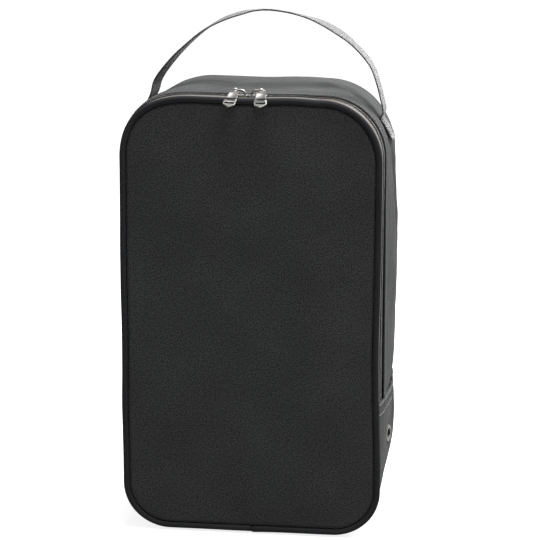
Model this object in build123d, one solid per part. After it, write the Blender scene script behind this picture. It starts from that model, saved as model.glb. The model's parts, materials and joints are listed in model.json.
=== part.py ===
"""Upright zipped shoe bag with a webbing handle, built node by node.

Axes: +Z up, +X to the wearer's right when facing the bag, the front panel faces -Y.
Origin: middle of the base, on the surface that the bag stands on. Units: millimetres.
"""

import math
import os

from build123d import *

os.makedirs("parts", exist_ok=True)

# Driving dimensions of the bag
BODY_HALF_WIDTH = 106.5
BODY_HEIGHT = 360.0
BACK_Y = 65.0
FRONT_Y = -65.0
TOP_CORNER = 48.0
BOTTOM_CORNER = 36.0
BASE_SEAM_Z = 111.0

# Layers of the padded cloth
CLOTH = 1.2
FOAM = 2.0
LINING = 0.6
FRONT_CLOTH = 1.0
FRONT_FOAM = 3.0

# Front panel outline, measured to the outside of its piping
FRONT_HALF_WIDTH = 105.0
FRONT_LOW = 1.5
FRONT_HIGH = 355.3
FRONT_TOP_CORNER = 45.0
FRONT_BOTTOM_CORNER = 33.0
PIPING = 5.0
PIPING_ROUND = 2.0

# Fold line of the front flap
FOLD_GAP = 0.3

# Zip: a front and a rear tape, each edged with a coil, either side of a centre line.
# The rear tape is sewn in under the gusset's lining, so the zip follows the body's outline.
ZIP_Y = -51.6
TAPE_THICKNESS = 0.8
ZIP_INSET = CLOTH + FOAM + LINING + TAPE_THICKNESS / 2
ZIP_HALF_WIDTH = BODY_HALF_WIDTH - ZIP_INSET
ZIP_HIGH = BODY_HEIGHT - ZIP_INSET
ZIP_CORNER = TOP_CORNER - ZIP_INSET
COIL_THICKNESS = 2.2
COIL_INNER = 1.3
COIL_OUTER = 2.8
REAR_TAPE_END_Y = -34.0
GUSSET_FRONT_Y = -43.0

# Slider, measured from its nose along the zip and from the zip's centre line across it
SLIDER_LENGTH = 15.0
SLIDER_NOSE_HALF = 4.8
SLIDER_TAIL_HALF = 3.9
WING = 1.3
WING_GAP = 3.1
LIP = 0.7
LIP_INNER = 3.4
POST_START = 0.8
POST_END = 3.6
POST_HALF = 0.9
NOSE_GAP = 0.6
SLIDERS_MEET_X = -3.5
SLIDER_CHAMFER = 1.0
SLIDER_EDGE = 0.4

# Crown of the slider, and the pull tab that turns on it
CROWN_RADIUS = 0.9
CROWN_Z = 362.4
CROWN_START = 2.2
CROWN_END = 13.0
CROWN_NOSE_BEND = 3.4
CROWN_TAIL_BEND = 1.8
TAB_AT = 10.0
KNUCKLE_OUTER = 2.0
KNUCKLE_INNER = 1.15
KNUCKLE_WIDTH = 2.4
TAB_THICKNESS = 1.3
TAB_DROOP = 24.0
TAB_SKEW = 6.0

# Right half of the pull tab's outline, as (width, distance from the knuckle's axis)
TAB_OUTLINE = [
    (1.2, 1.4),
    (3.2, 1.7),
    (3.5, 4.0),
    (5.2, 18.5),
    (5.0, 21.8),
    (0.0, 25.5),
]
TAB_EDGE = 0.4
TAB_EYE = 1.2
TAB_EYE_AT = (2.1, 2.9)
RECESS_WIDTH = 6.2
RECESS_LENGTH = 11.0
RECESS_AT = 11.3
RECESS_DEPTH = 0.3
SLOT_WIDTH = 7.6
SLOT_LENGTH = 2.1
SLOT_AT = 20.3

# Webbing handle
STRAP_WIDTH = 25.0
STRAP = 1.8
STRAP_END_LOW_Z = 312.0
LEFT_FOOT_X = -91.5
RIGHT_FOOT_Z = 338.0

# Eyelet near the base
EYELET_Y = -12.0
EYELET_Z = 75.0
EYELET_HOLE = 4.0
EYELET_BARREL = 4.9
EYELET_FLANGE = 7.0
EYELET_RIM = 1.0
EYELET_WASHER = 0.8

# Base stiffener and seam bindings
BOARD_HALF_WIDTH = 70.0
BOARD_CLEARANCE = 2.0
BINDING = 1.5
BINDING_WIDTH = 8.0
FAR = 400.0

SIDES = {"left": -1, "right": 1}

# Outline: half width, low edge, high edge, lower corner radius, upper corner radius
BODY = (BODY_HALF_WIDTH, 0.0, BODY_HEIGHT, BOTTOM_CORNER, TOP_CORNER)
FRONT = (FRONT_HALF_WIDTH, FRONT_LOW, FRONT_HIGH, FRONT_BOTTOM_CORNER, FRONT_TOP_CORNER)
ZIP = (ZIP_HALF_WIDTH, FRONT_LOW, ZIP_HIGH, FRONT_BOTTOM_CORNER, ZIP_CORNER)


def slab(outline, inset, y_from, y_to):
    """Solid with the outline, drawn in by inset, from y_from to y_to."""
    half_width, low, high, corner_low, corner_high = outline
    width = 2 * (half_width - inset)
    height = high - low - 2 * inset
    face = Rectangle(width, height)
    face = fillet(face.vertices().group_by(Axis.Y)[0], corner_low - inset)
    face = fillet(face.vertices().group_by(Axis.Y)[-1], corner_high - inset)
    upright = Plane.XZ * Pos(0, (low + high) / 2) * face
    return extrude(Pos(0, y_from, 0) * upright, amount=y_to - y_from, dir=(0, 1, 0))


def ring(outline, inset, thickness, y_from, y_to):
    """Hollow band that follows the outline, with the given wall thickness."""
    return slab(outline, inset, y_from, y_to) - slab(outline, inset + thickness, y_from, y_to)


def block(x_from, x_to, y_from, y_to, z_from, z_to):
    """Box between two corners."""
    size = Box(x_to - x_from, y_to - y_from, z_to - z_from)
    return Pos((x_from + x_to) / 2, (y_from + y_to) / 2, (z_from + z_to) / 2) * size


def above(z):
    """Everything higher than z."""
    return block(-FAR, FAR, -FAR, FAR, z, 2 * FAR)


def below(z):
    """Everything lower than z."""
    return block(-FAR, FAR, -FAR, FAR, -FAR, z)


def x_cylinder(radius, x_from, x_to, y, z):
    """Cylinder along X."""
    return Pos((x_from + x_to) / 2, y, z) * Rot(0, 90, 0) * Cylinder(radius, abs(x_to - x_from))


def write(node, shape):
    """One STEP file for each node."""
    export_step(shape, "parts/" + node + ".step")


def eyelet_holes(band):
    """The band with the two eyelet holes cut through its sides."""
    for side in SIDES.values():
        outside = side * (BODY_HALF_WIDTH + 2)
        inside = side * (BODY_HALF_WIDTH - 3 * CLOTH - 2 * FOAM)
        band = band - x_cylinder(EYELET_BARREL, outside, inside, EYELET_Y, EYELET_Z)
    return band


def body_shell():
    """Gussets, back panel, base board and the bindings inside the back seam."""
    lining_inset = CLOTH + FOAM
    back_inner_y = BACK_Y - CLOTH - FOAM - LINING
    front_inner_y = FRONT_Y + FRONT_CLOTH + FRONT_FOAM
    upper = above(BASE_SEAM_Z)
    lower = below(BASE_SEAM_Z)
    board_y_from = front_inner_y + BOARD_CLEARANCE
    board_y_to = back_inner_y - BOARD_CLEARANCE
    board = block(
        -BOARD_HALF_WIDTH, BOARD_HALF_WIDTH, board_y_from, board_y_to, CLOTH, CLOTH + FOAM
    )

    layers = {"": (0.0, CLOTH), "_foam": (CLOTH, FOAM), "_lining": (lining_inset, LINING)}
    for layer, (inset, thickness) in layers.items():
        top = ring(BODY, inset, thickness, GUSSET_FRONT_Y, back_inner_y) & upper
        base = eyelet_holes(ring(BODY, inset, thickness, front_inner_y, back_inner_y) & lower)
        if layer == "_foam":
            base = base - board
        write("upper_gusset" + layer, top)
        write("base_gusset" + layer, base)
    write("base_board", board)

    write("back_panel", slab(BODY, 0, BACK_Y - CLOTH, BACK_Y))
    write("back_foam", slab(BODY, 0, BACK_Y - CLOTH - FOAM, BACK_Y - CLOTH))
    write("back_lining", slab(BODY, 0, back_inner_y, BACK_Y - CLOTH - FOAM))
    binding_inset = lining_inset + LINING
    binding = ring(BODY, binding_inset, BINDING, back_inner_y - BINDING_WIDTH, back_inner_y)
    write("back_seam_binding", binding)


def front_layers():
    """The front panel, its piping and its seam binding, parted at the fold line."""
    foam_y = FRONT_Y + FRONT_CLOTH
    lining_y = foam_y + FRONT_FOAM
    inner_y = lining_y + LINING
    piping = ring(FRONT, 0, PIPING, FRONT_Y - FRONT_CLOTH, lining_y)
    piping = fillet(piping.edges().filter_by(GeomType.LINE).filter_by(Axis.Z), PIPING_ROUND)
    panel = {
        "front_panel": slab(FRONT, PIPING, FRONT_Y, foam_y),
        "front_foam": slab(FRONT, PIPING, foam_y, lining_y),
        "front_lining": slab(FRONT, PIPING, lining_y, inner_y),
        "front_piping": piping,
        "front_binding": ring(FRONT, PIPING, BINDING, inner_y, inner_y + BINDING_WIDTH / 2),
    }
    for name, layer in panel.items():
        write(name + "_lower", layer & below(BASE_SEAM_Z - FOLD_GAP))
        write(name + "_flap", layer & above(BASE_SEAM_Z + FOLD_GAP))


def zip_halves():
    """Tapes and coils, from the base seam up one side, over the top and down the other."""
    upper = above(BASE_SEAM_Z + FOLD_GAP)
    lining_y = FRONT_Y + FRONT_CLOTH + FRONT_FOAM
    tape_inset = -TAPE_THICKNESS / 2
    coil_inset = -COIL_THICKNESS / 2
    tapes = {
        "zip_tape_front": (lining_y, ZIP_Y - COIL_OUTER),
        "zip_tape_rear": (ZIP_Y + COIL_OUTER, REAR_TAPE_END_Y),
    }
    coils = {
        "zip_coil_front": (ZIP_Y - COIL_OUTER, ZIP_Y - COIL_INNER),
        "zip_coil_rear": (ZIP_Y + COIL_INNER, ZIP_Y + COIL_OUTER),
    }
    for node, (y_from, y_to) in tapes.items():
        write(node, ring(ZIP, tape_inset, TAPE_THICKNESS, y_from, y_to) & upper)
    for node, (y_from, y_to) in coils.items():
        write(node, ring(ZIP, coil_inset, COIL_THICKNESS, y_from, y_to) & upper)


def slider(side):
    """Slider body with its wings, post and crown, nose towards the middle of the zip."""
    outline = Polyline(
        (0, -SLIDER_NOSE_HALF + SLIDER_CHAMFER),
        (SLIDER_CHAMFER, -SLIDER_NOSE_HALF),
        (SLIDER_LENGTH / 2, -SLIDER_NOSE_HALF),
        (SLIDER_LENGTH, -SLIDER_TAIL_HALF),
        (SLIDER_LENGTH, SLIDER_TAIL_HALF),
        (SLIDER_LENGTH / 2, SLIDER_NOSE_HALF),
        (SLIDER_CHAMFER, SLIDER_NOSE_HALF),
        (0, SLIDER_NOSE_HALF - SLIDER_CHAMFER),
        close=True,
    )
    plate = extrude(make_face(outline), amount=WING)
    plate = fillet(plate.edges().filter_by(Axis.Z), SLIDER_EDGE)
    rims = extrude(make_face(outline), amount=LIP)
    rims = rims - Box(3 * SLIDER_LENGTH, 2 * LIP_INNER, 3 * LIP)
    top_z = WING_GAP / 2
    body = Pos(0, 0, top_z) * plate
    body = body + Pos(0, 0, -top_z - WING) * plate
    body = body + Pos(0, 0, top_z - LIP) * rims
    body = body + Pos(0, 0, -top_z) * rims
    body = body + block(POST_START, POST_END, -POST_HALF, POST_HALF, -top_z, top_z)
    crown_foot = top_z + WING / 2
    crown_top = CROWN_Z - ZIP_HIGH
    corners = [
        (CROWN_START, 0, crown_foot),
        (CROWN_START, 0, crown_top),
        (CROWN_END, 0, crown_top),
        (CROWN_END, 0, crown_foot),
    ]
    path = FilletPolyline(*corners, radius=[CROWN_NOSE_BEND, CROWN_TAIL_BEND])
    section = Plane(origin=corners[0], z_dir=(0, 0, 1)) * Circle(CROWN_RADIUS)
    body = body + sweep(section, path=path)
    return Pos(SLIDERS_MEET_X + side * NOSE_GAP / 2, ZIP_Y, ZIP_HIGH) * turned(body, side)


def turned(shape, side):
    """A slider is the same on both sides of the zip, so the left one is turned round."""
    return shape if side > 0 else Rot(0, 0, 180) * shape


def puller(side):
    """Pull tab: a knuckle on the crown and a pointed plate with two eyes, a recess and a slot."""
    right = [(width, -distance) for width, distance in TAB_OUTLINE]
    left = [(-width, y) for width, y in reversed(right[:-1])]
    face = make_face(Polyline(*right, *left, close=True))
    plate = extrude(face, amount=TAB_THICKNESS / 2, both=True)
    plate = fillet(plate.edges().filter_by(Axis.Z), TAB_EDGE)
    recess = Box(RECESS_WIDTH, RECESS_LENGTH, 2 * RECESS_DEPTH)
    plate = plate - Pos(0, -RECESS_AT, TAB_THICKNESS / 2) * recess
    plate = plate - Pos(0, -SLOT_AT, 0) * Box(SLOT_WIDTH, SLOT_LENGTH, 3 * TAB_THICKNESS)
    for way in SIDES.values():
        eye = Box(TAB_EYE, TAB_EYE, 3 * TAB_THICKNESS)
        plate = plate - Pos(way * TAB_EYE_AT[0], -TAB_EYE_AT[1], 0) * eye
    knuckle = Rot(0, 90, 0) * Cylinder(KNUCKLE_OUTER, KNUCKLE_WIDTH)
    bore = Rot(0, 90, 0) * Cylinder(KNUCKLE_INNER, 3 * KNUCKLE_WIDTH)
    tab = Rot(TAB_DROOP, 0, 0) * (Rot(0, 0, side * TAB_SKEW) * plate + knuckle - bore)
    x = SLIDERS_MEET_X + side * (NOSE_GAP / 2 + TAB_AT)
    return Pos(x, ZIP_Y, CROWN_Z) * tab


def eyelet(side):
    """Flanged barrel through the gusset, and the washer that it is spread over inside."""
    face_x = side * BODY_HALF_WIDTH
    inner_x = face_x - side * (CLOTH + FOAM + LINING)
    washer_x = inner_x - side * EYELET_WASHER
    rim_x = face_x + side * EYELET_RIM
    flange = x_cylinder(EYELET_FLANGE, face_x, rim_x, EYELET_Y, EYELET_Z)
    outer_edge = flange.edges().filter_by(GeomType.CIRCLE).sort_by(Axis.X)[-1 if side > 0 else 0]
    flange = fillet(outer_edge, 0.8 * EYELET_RIM)
    barrel = x_cylinder(EYELET_BARREL, face_x, washer_x, EYELET_Y, EYELET_Z)
    hole = x_cylinder(EYELET_HOLE, rim_x + side, washer_x - side, EYELET_Y, EYELET_Z)
    washer = x_cylinder(EYELET_FLANGE, inner_x, washer_x, EYELET_Y, EYELET_Z)
    washer = washer - x_cylinder(EYELET_BARREL, inner_x + side, washer_x - side, EYELET_Y, EYELET_Z)
    return flange + barrel - hole, washer


def strap_end(x_from, x_to, z_to):
    """Sewn end of the webbing, lying on the curved shoulder of the gusset."""
    half = STRAP_WIDTH / 2
    return ring(BODY, -STRAP, STRAP, -half, half) & block(
        x_from, x_to, -half, half, STRAP_END_LOW_Z, z_to
    )


def handle():
    """Free arch of the webbing, between the two places where it leaves the bag."""
    route = [
        (-88.9, 363.0),
        (-81.5, 380.5),
        (-58.0, 401.5),
        (-30.0, 419.5),
        (1.0, 423.5),
        (34.0, 416.5),
        (66.0, 400.0),
        (88.0, 380.0),
        (100.2, 354.0),
    ]
    radii = []
    for before, corner, after in zip(route, route[1:], route[2:]):
        run_in = Vector(*corner) - Vector(*before)
        run_out = Vector(*after) - Vector(*corner)
        half_turn = math.radians(run_in.get_angle(run_out)) / 2
        radii.append(0.45 * min(run_in.length, run_out.length) / math.tan(half_turn))
    path = FilletPolyline(*route, radius=radii)
    strip = trace(path, line_width=STRAP)
    upright = Plane.XZ * strip
    half = STRAP_WIDTH / 2
    return extrude(Pos(0, half, 0) * upright, amount=STRAP_WIDTH)


body_shell()
front_layers()
zip_halves()
for side_name, side_sign in SIDES.items():
    write("slider_" + side_name, slider(side_sign))
    write("puller_" + side_name, puller(side_sign))
    eyelet_shell, eyelet_washer = eyelet(side_sign)
    write("eyelet_" + side_name, eyelet_shell)
    write("eyelet_washer_" + side_name, eyelet_washer)
LEFT_FOOT_Z = BODY_HEIGHT - TOP_CORNER + math.sqrt(
    TOP_CORNER**2 - (LEFT_FOOT_X + BODY_HALF_WIDTH - TOP_CORNER) ** 2
)
write("handle_end_left", strap_end(-FAR, LEFT_FOOT_X, LEFT_FOOT_Z + STRAP))
write("handle_end_right", strap_end(0, FAR, RIGHT_FOOT_Z))
write("handle_webbing", handle())
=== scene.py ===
import json
import math

import bmesh
import bpy
import numpy as np
from mathutils import Matrix, Vector


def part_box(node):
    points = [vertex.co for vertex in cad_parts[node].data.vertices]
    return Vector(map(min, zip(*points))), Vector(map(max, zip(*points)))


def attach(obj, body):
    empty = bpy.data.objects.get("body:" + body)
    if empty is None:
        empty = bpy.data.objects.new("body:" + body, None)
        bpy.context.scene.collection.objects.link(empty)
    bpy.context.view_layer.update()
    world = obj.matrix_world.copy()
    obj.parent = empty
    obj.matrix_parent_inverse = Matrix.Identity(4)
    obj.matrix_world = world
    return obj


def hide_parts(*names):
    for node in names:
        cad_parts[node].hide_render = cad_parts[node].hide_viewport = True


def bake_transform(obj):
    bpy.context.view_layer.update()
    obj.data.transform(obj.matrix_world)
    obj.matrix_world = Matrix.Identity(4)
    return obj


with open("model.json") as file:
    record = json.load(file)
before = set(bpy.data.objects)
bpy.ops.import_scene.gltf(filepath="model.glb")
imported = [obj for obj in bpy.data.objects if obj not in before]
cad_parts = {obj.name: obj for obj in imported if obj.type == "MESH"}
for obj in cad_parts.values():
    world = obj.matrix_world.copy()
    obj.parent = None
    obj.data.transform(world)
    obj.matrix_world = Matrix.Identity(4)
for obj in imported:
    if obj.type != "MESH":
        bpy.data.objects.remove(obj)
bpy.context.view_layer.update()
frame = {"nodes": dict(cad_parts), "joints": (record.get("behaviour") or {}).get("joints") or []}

# Lengths below are in millimetres, as on the bag's drawing; meshes are made in metres.
MM = 0.001


def span(node):
    """Lowest and highest corner of a CAD node, in millimetres."""
    low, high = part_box(node)
    return np.array(low) / MM, np.array(high) / MM


# ---------------------------------------------------------------- sizes taken from the frame
PIPING_LOW, PIPING_TOP = span("front_piping_lower")[0], span("front_piping_flap")[1]
PANEL_LOW, PANEL_TOP = span("front_panel_lower")[0], span("front_panel_flap")[1]
FOLD_Z = span("upper_gusset")[0][2]
FRONT_FACE_Y = PANEL_LOW[1]
FRONT_INNER_Y = span("front_lining_flap")[1][1]
BACK_Y = span("back_panel")[1][1]
BACK_INNER_Y = span("back_lining")[0][1]
PIPING_HALF = PIPING_TOP[0]
PIPING_ROLL = PIPING_TOP[1] - PIPING_LOW[1]
PIPING_Y = (PIPING_TOP[1] + PIPING_LOW[1]) / 2
BODY_HIGH = span("upper_gusset")[1][2]
ZIP_HALF = PIPING_HALF - 0.6
ZIP_HIGH = PIPING_TOP[2] + 0.3
ZIP_Y = (span("zip_coil_front")[1][1] + span("zip_coil_rear")[0][1]) / 2
JOINTS = {joint["name"]: joint for joint in frame["joints"]}

# ---------------------------------------------------------------- how the soft bag departs from it
FRONT_RISE = 2.2         # the front's top edge stands this much prouder than the drawing
TOP_CREST = 1.1          # the top is this much fuller either side of the pull tabs
TOP_SAG = 0.9            # and lower by this much under them
TOP_SAG_AT = -3.0
SWAY = 0.5               # the whole bag leans this far to the left at mid height
FRONT_FULL = 0.6         # the front is this much wider above and below its waist
FRONT_WAIST = 0.95       # and narrower by this much less that at its waist
FRONT_SHIFT = 1.0        # the front's foot stands this far to the right
BACK_NARROWER = 0.020    # share by which the back is narrower than the front
SIDE_FULL = 0.016        # and by which the middle is wider
LEFT_SHOULDER = 2.0      # the left shoulder stands this much fuller than the right one
LEFT_SHOULDER_AT = (-93.0, 340.0)
BACK_ROUNDER = 7.5       # the back's top corners have this much more radius
GUSSET_FOLD_Y = ZIP_Y + 8.0
SIDE_SHARE = 0.62        # the gusset swells less at the sides than on top
CORNER_SHARE = 0.8
ZIP_CORNER = 46.5        # radius of the zip's line at the top corners


# ---------------------------------------------------------------- smooth numbers
def smooth(x):
    """0 below 0, 1 above 1 and a smooth rise between."""
    x = np.clip(x, 0.0, 1.0)
    return x * x * (3 - 2 * x)


def bump(x, centre, width):
    """Bell curve of height 1."""
    return np.exp(-(((x - centre) / width) ** 2))


def ripples(a, b, seed, wavelength, directions=7):
    """Soft irregular ripples over two coordinates, from -1 to 1, the same on each run."""
    random = np.random.default_rng(seed)
    total = np.zeros_like(a)
    for _ in range(directions):
        angle = random.uniform(0, math.pi)
        length = wavelength * random.uniform(0.7, 1.5)
        phase = random.uniform(0, 2 * math.pi)
        drift = random.uniform(-1, 1)
        along = a * math.cos(angle) + b * math.sin(angle)
        across = b * math.cos(angle) - a * math.sin(angle)
        wave = 2 * math.pi * along / length + drift * np.sin(across / wavelength * 2.0) + phase
        total = total + np.sin(wave)
    return total / directions ** 0.5 / 1.6


def top_line(x, z):
    """How much fuller the soft top edge is than the drawing's straight one."""
    near_top = smooth((z - 0.72 * BODY_HIGH) / (0.28 * BODY_HIGH))
    crest = TOP_CREST * smooth((62 - np.abs(x + 7)) / 22)
    return near_top, near_top * (crest - TOP_SAG * bump(x, TOP_SAG_AT, 24))


def settle(points):
    """The bag's slight lean, its fuller top and its narrower back, on an array of points."""
    moved = np.array(points, float)
    x, y, z = (np.array(moved[..., axis]) for axis in range(3))
    moved[..., 0] = x * (1 - BACK_NARROWER * smooth((y - 5) / 55) + SIDE_FULL * bump(y, 8, 30))
    moved[..., 0] -= SWAY * np.sin(np.clip(z / BODY_HIGH, 0, 1) * math.pi) ** 2
    shoulder = LEFT_SHOULDER * bump(np.hypot(x - LEFT_SHOULDER_AT[0], z - LEFT_SHOULDER_AT[1]), 0, 24)
    moved[..., 0] -= 0.7 * shoulder
    moved[..., 2] += 0.7 * shoulder + 0.6 * top_line(x, z)[1]
    return moved


# ---------------------------------------------------------------- outlines in the X-Z plane
def straight(start, end, count):
    """Points of a straight run, without its last one, and their outward normals."""
    t = np.linspace(0, 1, count, endpoint=False)[:, None]
    start, end = np.array(start, float), np.array(end, float)
    direction = (end - start) / max(np.linalg.norm(end - start), 1e-9)
    normal = np.array([direction[1], -direction[0]])
    return start + t * (end - start), np.repeat(normal[None], count, 0)


def corner(centre, radius, start, end, count):
    """Points of a quarter turn between two angles in degrees, and their outward normals."""
    angle = np.radians(np.linspace(start, end, count, endpoint=False))
    normal = np.stack([np.cos(angle), np.sin(angle)], 1)
    return np.array(centre) + radius * normal, normal


SIDE_STEPS = 64
CORNER_STEPS = 26
TOP_STEPS = 44
BASE_SIDE_STEPS = 28


def outline(corners, radii, counts):
    """Anticlockwise line between the first and the last point, with its square corners rounded.

    Counts are the points of each straight run. The normals look outward.
    """
    corners = np.array(corners, float)
    radii = (0.0, *radii, 0.0)
    points, normals = [], []
    for i, count in enumerate(counts):
        ahead = corners[i + 1] - corners[i]
        ahead /= np.linalg.norm(ahead)
        left = np.array([-ahead[1], ahead[0]])
        turned_from = corners[i + 1] - ahead * radii[i + 1]
        runs = [straight(corners[i] + ahead * radii[i], turned_from, count)]
        if i < len(counts) - 1:
            start = math.degrees(math.atan2(-left[1], -left[0]))
            centre = turned_from + left * radii[i + 1]
            runs.append(corner(centre, radii[i + 1], start, start + 90, CORNER_STEPS))
        points += [run[0] for run in runs]
        normals += [run[1] for run in runs]
    return np.concatenate(points + [corners[-1:]]), np.concatenate(normals + [-left[None]])


def arch(half, high, radius, low):
    """Up the right side from low, over the top and down the left side."""
    corners = (half, low), (half, high), (-half, high), (-half, low)
    return outline(corners, (radius, radius), (SIDE_STEPS, TOP_STEPS, SIDE_STEPS))


def gusset_arch(offset, low, y=-60.0):
    """Outline of the body above the hem, at an offset from the zip's line; rounder to the back."""
    radius = ZIP_CORNER + CORNER_SHARE * offset + BACK_ROUNDER * float(smooth((y + 44) / 60))
    return arch(ZIP_HALF + SIDE_SHARE * offset, ZIP_HIGH + offset, radius, low)


def trough(half, low, radius, high):
    """Down the left side from high, along the bottom and up the right side."""
    corners = (-half, high), (-half, low), (half, low), (half, high)
    return outline(corners, (radius, radius), (BASE_SIDE_STEPS, TOP_STEPS, BASE_SIDE_STEPS))


def loop(half, low, high, low_radius, high_radius):
    """Closed outline from the middle of the bottom, to the right, up, over and down again."""
    corners = (0, low), (half, low), (half, high), (-half, high), (-half, low), (0, low)
    radii = low_radius, high_radius, high_radius, low_radius
    return outline(corners, radii, (TOP_STEPS // 2, SIDE_STEPS, TOP_STEPS, SIDE_STEPS, TOP_STEPS // 2))


def lengths(points):
    """Distance along a line of points."""
    steps = np.linalg.norm(np.diff(points, axis=0), axis=1)
    return np.concatenate([[0], np.cumsum(steps)])


def resampled(points, normals, step):
    """The same line with points evenly spaced at about that step."""
    along = lengths(points)
    count = int(round(along[-1] / step)) + 1
    wanted = np.linspace(0, along[-1], count)
    new_points = np.stack([np.interp(wanted, along, column) for column in points.T], 1)
    new_normals = np.stack([np.interp(wanted, along, column) for column in normals.T], 1)
    new_normals /= np.linalg.norm(new_normals, axis=1)[:, None]
    return new_points, new_normals, wanted


def front_warp(points):
    """The soft front: a proud top edge, a slight waist and a foot that stands to the right."""
    moved = np.array(points, float)
    x, z = np.array(moved[..., 0]), np.array(moved[..., 2])
    near_top, fuller = top_line(x, z)
    side = FRONT_FULL - FRONT_WAIST * bump(z, 155, 45)
    side = side * smooth((340 - z) / 40) * smooth((z + 5) / 25)
    moved[..., 0] += x / PIPING_HALF * side + FRONT_SHIFT * smooth((115 - z) / 60)
    moved[..., 2] += near_top * FRONT_RISE + 0.4 * fuller
    return settle(moved)


# ---------------------------------------------------------------- mesh makers
def add_object(name, vertices, faces, uvs=None):
    """Mesh object from points in millimetres; uvs are per vertex, also in millimetres."""
    mesh = bpy.data.meshes.new(name)
    mesh.from_pydata((np.asarray(vertices) * MM).tolist(), [], [list(map(int, f)) for f in faces])
    mesh.update()
    if uvs is not None:
        layer = mesh.uv_layers.new(name="cloth")
        corner_vertex = np.zeros(len(mesh.loops), np.int32)
        mesh.loops.foreach_get("vertex_index", corner_vertex)
        layer.data.foreach_set("uv", np.asarray(uvs, np.float32)[corner_vertex].ravel())
    mesh.polygons.foreach_set("use_smooth", np.ones(len(mesh.polygons), bool))
    made = bpy.data.objects.new(name, mesh)
    bpy.context.scene.collection.objects.link(made)
    return made


def grid_faces(rows, columns, close_columns=False, offset=0, flip=False):
    """Quads of a grid of points numbered row by row."""
    faces = []
    last = columns if close_columns else columns - 1
    for i in range(rows - 1):
        for j in range(last):
            k = (j + 1) % columns
            quad = (i * columns + j, i * columns + k, (i + 1) * columns + k, (i + 1) * columns + j)
            faces.append(tuple(offset + q for q in (quad[::-1] if flip else quad)))
    return faces


def grid_normals(points, outward):
    """Unit normals of a grid, turned to the side that outward says."""
    du = np.gradient(points, axis=1)
    dv = np.gradient(points, axis=0)
    normals = np.cross(du, dv)
    size = np.linalg.norm(normals, axis=-1, keepdims=True)
    normals = normals / np.maximum(size, 1e-9)
    middle = tuple(n // 2 for n in points.shape[:2])
    if np.dot(normals[middle], outward) < 0:
        normals = -normals
    return normals


def grid_rim(rows, columns):
    """Pairs of neighbours along a grid's edge, in order round it."""
    rim = list(range(columns))
    rim += [i * columns + columns - 1 for i in range(1, rows)]
    rim += [(rows - 1) * columns + j for j in range(columns - 2, -1, -1)]
    rim += [i * columns for i in range(rows - 2, 0, -1)]
    return list(zip(rim, rim[1:] + rim[:1]))


def two_sided(name, outer, inner, uvs, flip=False):
    """Closed mesh between two grids of the same layout, joined round their rim."""
    rows, columns = outer.shape[:2]
    count = rows * columns
    faces = grid_faces(rows, columns, flip=flip)
    faces += grid_faces(rows, columns, offset=count, flip=not flip)
    for a, b in grid_rim(rows, columns):
        quad = (a, a + count, b + count, b)
        faces.append(quad[::-1] if flip else quad)
    vertices = np.concatenate([outer.reshape(-1, 3), inner.reshape(-1, 3)])
    return add_object(name, vertices, faces, np.concatenate([uvs.reshape(-1, 2)] * 2))


def shell(name, points, uvs, thickness, outward):
    """Closed sheet of cloth: the grid is its outer face, with that thickness inside it."""
    normals = grid_normals(points, outward)
    i, j = (n // 2 for n in points.shape[:2])
    du = points[i, j + 1] - points[i, j]
    dv = points[i + 1, j] - points[i, j]
    flip = np.dot(np.cross(du, dv), normals[i, j]) < 0
    return two_sided(name, points, points - normals * thickness, uvs, flip)


def tube(name, centres, sideways, upward, section, along=None, across=None, twist_uv=0.0):
    """Sweep of a section, given as (rows of (sideways, upward) offsets), along the centres."""
    count, sides = section.shape[:2]
    along = lengths(centres) if along is None else along
    around = lengths(section[0])[None]
    vertices = (
        centres[:, None, :]
        + section[..., :1] * sideways[:, None, :]
        + section[..., 1:] * upward[:, None, :]
    )
    uvs = np.zeros((count, sides, 2))
    uvs[..., 0] = along[:, None] + twist_uv * around
    uvs[..., 1] = around if across is None else across
    faces = grid_faces(count, sides, close_columns=True)
    faces.append(tuple(range(sides)))
    faces.append(tuple((count - 1) * sides + j for j in range(sides - 1, -1, -1)))
    return outward_faces(add_object(name, vertices.reshape(-1, 3), faces, uvs.reshape(-1, 2)))


def outward_faces(piece):
    """Recalculates the faces of a closed mesh so that they look outward."""
    work = bmesh.new()
    work.from_mesh(piece.data)
    bmesh.ops.recalc_face_normals(work, faces=work.faces)
    work.to_mesh(piece.data)
    work.free()
    return piece


def applied(piece):
    """The piece with its modifiers applied."""
    bpy.context.view_layer.update()
    evaluated = piece.evaluated_get(bpy.context.evaluated_depsgraph_get())
    mesh = bpy.data.meshes.new_from_object(evaluated)
    piece.modifiers.clear()
    piece.data = mesh
    return piece


def bevelled(piece, width):
    """Rounded edges on a hard part."""
    modifier = piece.modifiers.new("edges", "BEVEL")
    modifier.width = width * MM
    modifier.segments = 2
    modifier.limit_method = "ANGLE"
    modifier.angle_limit = math.radians(35)
    modifier.harden_normals = False
    return applied(piece)


def join(name, pieces):
    """Several meshes of one material as one object."""
    work = bmesh.new()
    for piece in pieces:
        work.from_mesh(piece.data)
    mesh = bpy.data.meshes.new(name)
    work.to_mesh(mesh)
    work.free()
    mesh.materials.append(pieces[0].data.materials[0])
    made = bpy.data.objects.new(name, mesh)
    bpy.context.scene.collection.objects.link(made)
    for piece in pieces:
        bpy.data.objects.remove(piece)
    return made


# ---------------------------------------------------------------- materials
STRAP_WIDTH = 25.0
RIB_PITCH = 1.6
GRAIN_SCALE = 0.9        # per millimetre: uneven yarns show as grains about a millimetre long
SURFACE = {
    "rough": "Roughness", "gloss": "Specular IOR Level", "metal": "Metallic",
    "sheen": "Sheen Weight", "sheen_rough": "Sheen Roughness", "emission": "Emission Strength",
}


def tint(colour, share):
    return tuple(c * share for c in colour)


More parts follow.
